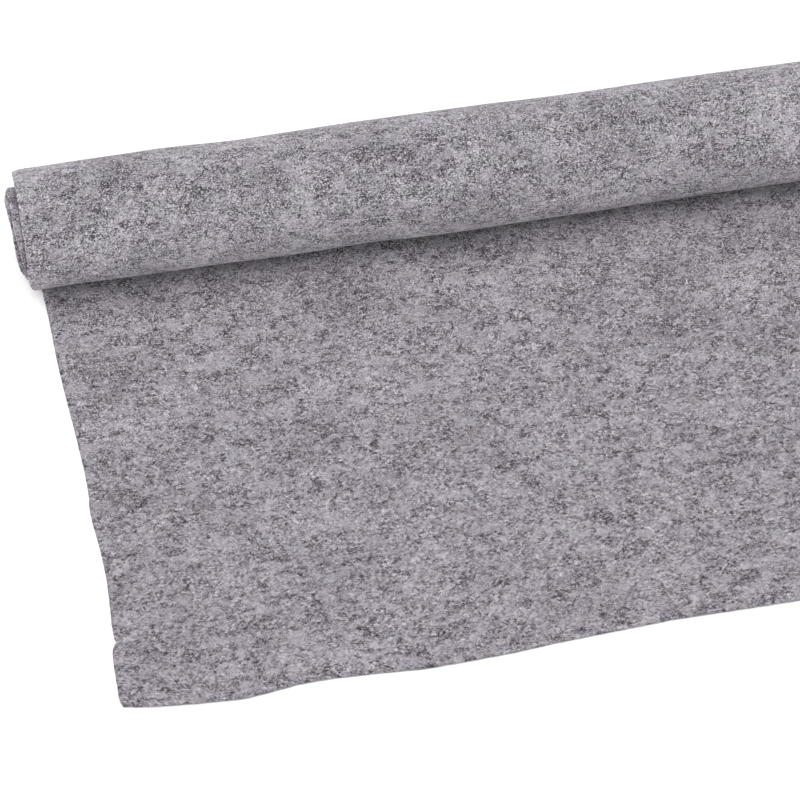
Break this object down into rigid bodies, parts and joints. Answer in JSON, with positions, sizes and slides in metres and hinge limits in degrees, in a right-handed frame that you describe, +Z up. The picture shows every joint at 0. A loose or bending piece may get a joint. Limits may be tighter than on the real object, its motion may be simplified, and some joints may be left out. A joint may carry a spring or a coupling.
{
  "type": "roll of felt carpet",
  "caption": "Cut length of grey heather needle felt, its far part wound into a loose roll and its near part lying flat in front of the roll.",
  "frame": {"origin": "middle of the ground plan of the whole cloth, on the ground that it lies on", "axes": "+X along the roll from left to right, +Y from the loose end to the roll, +Z up"},
  "size_m": [0.7753, 0.5318, 0.112],
  "materials": {
    "felt": "matte needle-punched felt, light grey fibres with charcoal flecks"
  },
  "bodies": {
    "root": {"felt_cloth": "felt"}
  },
  "joints": []
}
